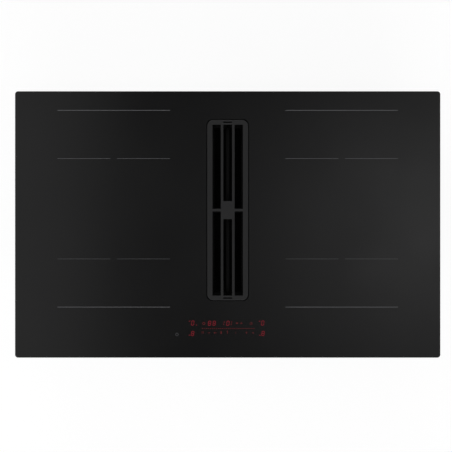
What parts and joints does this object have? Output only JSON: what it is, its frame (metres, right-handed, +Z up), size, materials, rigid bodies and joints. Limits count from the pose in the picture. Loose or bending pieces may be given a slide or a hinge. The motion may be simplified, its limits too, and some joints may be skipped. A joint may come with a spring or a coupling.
{
  "type": "downdraft induction cooktop",
  "caption": "Flush-edged induction cooktop with a central air intake, lift-out grille and grease filters, under-counter blower, drip tray and flat duct outlet.",
  "frame": {"origin": "centre of the glass outline at the level of the worktop that the seal under the glass edge rests on", "axes": "+X to the cook's right along the long side, +Y towards the back, +Z up out of the worktop"},
  "size_m": [0.83, 0.52, 0.2112],
  "materials": {
    "black_glass_ceramic": "satin black glass ceramic, ground edge",
    "grey_enamel_print": "fired grey enamel",
    "grey_seal_foam": "closed-cell sealing foam",
    "silicone_bead": "silicone adhesive",
    "black_coated_grille": "matte black coated casting",
    "silicone_pad": "soft silicone",
    "collar_plastic": "glass-filled black plastic",
    "coated_filter_steel": "black enamelled sheet",
    "coated_filter_mesh": "black enamelled perforated sheet",
    "filter_grip_steel": "matte black coated bar",
    "coated_frame_steel": "black powder coat",
    "galvanised_sheet": "galvanised sheet, fine spangle",
    "zinc_screw": "bright zinc plate",
    "air_box_plastic": "fine grained black polypropylene",
    "volute_plastic": "flame retardant grey-black plastic",
    "grommet_rubber": "soft rubber",
    "drip_tray_plastic": "dark grey plastic",
    "impeller_plastic": "glass-filled polyamide",
    "motor_aluminium": "die cast",
    "lamination_steel": "stacked electrical sheet",
    "enamelled_copper": "enamelled copper wire",
    "rotor_steel": "deep drawn steel can",
    "magnet_ferrite": "bonded magnet",
    "bearing_steel": "ground steel",
    "shaft_steel": "ground steel",
    "litz_copper": "braided enamelled copper",
    "mica": "pressed mica sheet",
    "ferrite_black": "sintered ferrite",
    "former_plastic": "heat resistant plastic",
    "buffer_silicone": "red silicone",
    "sensor_ceramic": "sensor body",
    "carrier_aluminium": "mill finish sheet",
    "circuit_board": "green solder mask",
    "standoff_nylon": "natural nylon",
    "heat_sink_aluminium": "extruded",
    "capacitor_sleeve": "shrink sleeve",
    "choke_copper": "copper wound toroid",
    "fan_plastic": "black plastic",
    "holder_plastic": "white plastic",
    "led_display": "red display, lit",
    "terminal_plastic": "black plastic",
    "terminal_block_plastic": "white plastic",
    "gland_nylon": "black nylon",
    "clamp_steel": "zinc plated spring steel"
  },
  "bodies": {
    "cooktop": {"glass_plate": "black_glass_ceramic", "zone_markings": "grey_enamel_print", "worktop_gasket": "grey_seal_foam", "intake_collar": "collar_plastic", "collar_seal": "grey_seal_foam", "glass_frame": "coated_frame_steel", "glass_adhesive": "silicone_bead", "case_tray": "galvanised_sheet", "intake_shaft": "air_box_plastic", "air_box_base": "air_box_plastic", "inlet_plate": "volute_plastic", "volute_housing": "volute_plastic", "blower_grommets": "grommet_rubber", "outlet_spigot": "air_box_plastic", "motor_mount": "motor_aluminium", "motor_bearings": "bearing_steel", "motor_stator": "lamination_steel", "motor_windings": "enamelled_copper", "coil_windings": "litz_copper", "mica_sheets": "mica", "coil_ferrites": "ferrite_black", "coil_formers": "former_plastic", "coil_buffers": "buffer_silicone", "temperature_sensors": "sensor_ceramic", "coil_carriers": "carrier_aluminium", "power_boards": "circuit_board", "board_standoffs": "standoff_nylon", "heat_sinks": "heat_sink_aluminium", "power_capacitors": "capacitor_sleeve", "filter_chokes": "choke_copper", "fan_frames": "fan_plastic", "touch_holder": "holder_plastic", "touch_board": "circuit_board", "led_displays": "led_display", "terminal_box": "terminal_plastic", "cable_gland": "gland_nylon", "terminal_block": "terminal_block_plastic", "case_screws": "zinc_screw", "air_box_screws": "zinc_screw", "clamp_screws": "zinc_screw"},
    "grille": {"intake_grille": "black_coated_grille", "grille_pads": "silicone_pad"},
    "filter_front": {"filter_frame_front": "coated_filter_steel", "filter_mesh_front": "coated_filter_mesh", "filter_grip_front": "filter_grip_steel"},
    "filter_rear": {"filter_frame_rear": "coated_filter_steel", "filter_mesh_rear": "coated_filter_mesh", "filter_grip_rear": "filter_grip_steel"},
    "drip_drawer": {"drip_tray": "drip_tray_plastic"},
    "blower_wheel": {"impeller": "impeller_plastic", "motor_rotor": "rotor_steel", "motor_magnets": "magnet_ferrite", "motor_shaft": "shaft_steel"},
    "fan_left": {"fan_rotor_left": "fan_plastic"},
    "fan_right": {"fan_rotor_right": "fan_plastic"},
    "terminal_cover": {"terminal_lid": "terminal_plastic"},
    "claw_front_left": {"clamp_claw_front_left": "clamp_steel"},
    "claw_rear_left": {"clamp_claw_rear_left": "clamp_steel"},
    "claw_front_right": {"clamp_claw_front_right": "clamp_steel"},
    "claw_rear_right": {"clamp_claw_rear_right": "clamp_steel"}
  },
  "joints": [
    {"name": "grille_lift", "type": "slide", "parent": "cooktop", "child": "grille", "axis": [0, 0, 1], "range_m": [0, 0.3]},
    {"name": "filter_front_lift", "type": "slide", "parent": "cooktop", "child": "filter_front", "axis": [0, 0, 1], "range_m": [0, 0.18]},
    {"name": "filter_rear_lift", "type": "slide", "parent": "cooktop", "child": "filter_rear", "axis": [0, 0, 1], "range_m": [0, 0.18]},
    {"name": "drip_tray_slide", "type": "slide", "parent": "cooktop", "child": "drip_drawer", "axis": [0, -1, 0], "range_m": [0, 0.25]},
    {"name": "impeller_spin", "type": "hinge", "parent": "cooktop", "child": "blower_wheel", "pos_m": [0.186, 0.03, -0.108], "axis": [0, 0, 1], "continuous": true},
    {"name": "fan_left_spin", "type": "hinge", "parent": "cooktop", "child": "fan_left", "pos_m": [-0.25, -0.165, -0.047], "axis": [0, 0, 1], "continuous": true},
    {"name": "fan_right_spin", "type": "hinge", "parent": "cooktop", "child": "fan_right", "pos_m": [0.25, -0.165, -0.047], "axis": [0, 0, 1], "continuous": true},
    {"name": "terminal_lid_swing", "type": "hinge", "parent": "cooktop", "child": "terminal_cover", "pos_m": [-0.27, 0.146, -0.08925], "axis": [-1, 0, 0], "range_deg": [0, 110]},
    {"name": "claw_front_left_swing", "type": "hinge", "parent": "cooktop", "child": "claw_front_left", "pos_m": [-0.39635, -0.15, -0.045], "axis": [0, 0, 1], "range_deg": [0, 90]},
    {"name": "claw_rear_left_swing", "type": "hinge", "parent": "cooktop", "child": "claw_rear_left", "pos_m": [-0.39635, 0.15, -0.045], "axis": [0, 0, -1], "range_deg": [0, 90]},
    {"name": "claw_front_right_swing", "type": "hinge", "parent": "cooktop", "child": "claw_front_right", "pos_m": [0.39635, -0.15, -0.045], "axis": [0, 0, -1], "range_deg": [0, 90]},
    {"name": "claw_rear_right_swing", "type": "hinge", "parent": "cooktop", "child": "claw_rear_right", "pos_m": [0.39635, 0.15, -0.045], "axis": [0, 0, 1], "range_deg": [0, 90]}
  ],
  "couplings": [
    {"joint": "filter_front_lift", "follows": "grille_lift", "ratio": 0.6},
    {"joint": "filter_rear_lift", "follows": "grille_lift", "ratio": 0.6}
  ]
}
